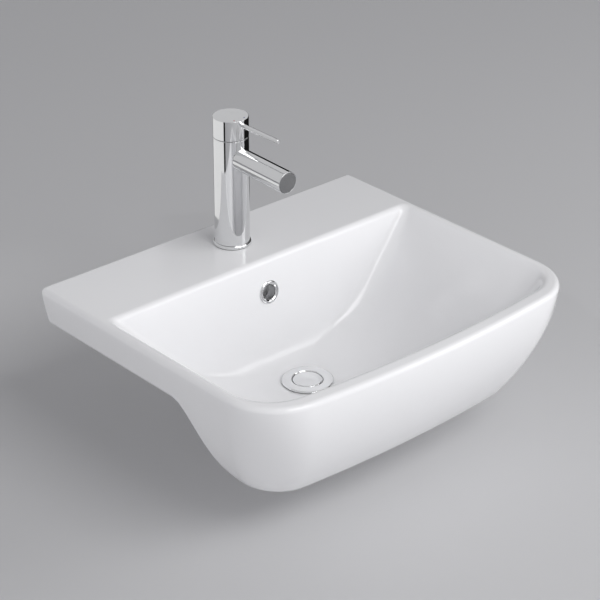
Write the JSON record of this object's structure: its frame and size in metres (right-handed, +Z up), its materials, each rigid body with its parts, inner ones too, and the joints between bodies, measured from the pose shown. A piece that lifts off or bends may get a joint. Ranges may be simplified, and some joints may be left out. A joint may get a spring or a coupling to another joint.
{
  "type": "semi recessed basin",
  "caption": "Semi recessed wash basin with a turning and lifting lever mixer tap, overflow and a click waste.",
  "frame": {"origin": "middle of the back edge at worktop level, on the underside of the rim", "axes": "+X to the right seen from the front, -Y towards the user, +Z up"},
  "size_m": [0.52, 0.4439, 0.3956],
  "materials": {
    "glaze": "glossy white glaze",
    "chrome_tap": "polished chrome on brass",
    "chrome_trim": "polished chrome",
    "brass": "turned brass",
    "steel": "zinc plated steel",
    "rubber": "black rubber",
    "foam": "soft foam rubber",
    "cartridge_plastic": "moulded white plastic",
    "carrier_plastic": "moulded dark plastic",
    "disc_ceramic": "lapped ceramic",
    "insert_plastic": "moulded plastic",
    "hot_mark": "red resin",
    "cold_mark": "blue resin"
  },
  "bodies": {
    "basin": {"basin_body": "glaze", "overflow_ring": "chrome_trim", "overflow_grommet": "rubber", "waste_flange": "chrome_trim", "waste_top_seal": "foam", "click_housing": "brass", "click_spring": "steel", "waste_lower_washer": "rubber", "waste_slip_washer": "insert_plastic", "waste_backnut": "brass", "tap_base_seal": "rubber", "tap_base_ring": "chrome_tap", "tap_body": "chrome_tap", "spout_end_cap": "chrome_tap", "aerator_housing": "chrome_trim", "aerator_insert": "insert_plastic", "aerator_seal": "rubber", "cartridge_housing": "cartridge_plastic", "cartridge_seal": "rubber", "fixed_disc": "disc_ceramic", "cartridge_nut": "brass", "dome_cover": "chrome_tap", "fixing_stud": "steel", "horseshoe_seal": "rubber", "horseshoe_plate": "steel", "fixing_nut": "brass"},
    "carrier": {"cartridge_rotor": "carrier_plastic", "stem_pin": "steel"},
    "disc": {"sliding_disc": "disc_ceramic"},
    "handle": {"handle_cap": "chrome_tap", "handle_lever": "chrome_tap", "grub_screw": "steel", "hot_mark": "hot_mark", "cold_mark": "cold_mark", "cartridge_stem": "brass"},
    "plug": {"waste_plug": "chrome_trim", "plug_seal": "rubber", "plug_stem": "steel"}
  },
  "joints": [
    {"name": "handle_turn", "type": "hinge", "parent": "basin", "child": "carrier", "pos_m": [0, -0.0616, 0.1835], "axis": [0, 0, 1], "range_deg": [-45, 45]},
    {"name": "handle_lift", "type": "hinge", "parent": "carrier", "child": "handle", "pos_m": [0, -0.0616, 0.1835], "axis": [-1, 0, 0], "range_deg": [0, 20]},
    {"name": "disc_slide", "type": "slide", "parent": "carrier", "child": "disc", "axis": [0, -1, 0], "range_m": [0, 0.005]},
    {"name": "plug_lift", "type": "slide", "parent": "basin", "child": "plug", "axis": [0, 0, 1], "range_m": [0, 0.008], "deforming": ["click_spring"]}
  ],
  "couplings": [
    {"joint": "disc_slide", "follows": "handle_lift", "m_per_rad": 0.014207}
  ]
}
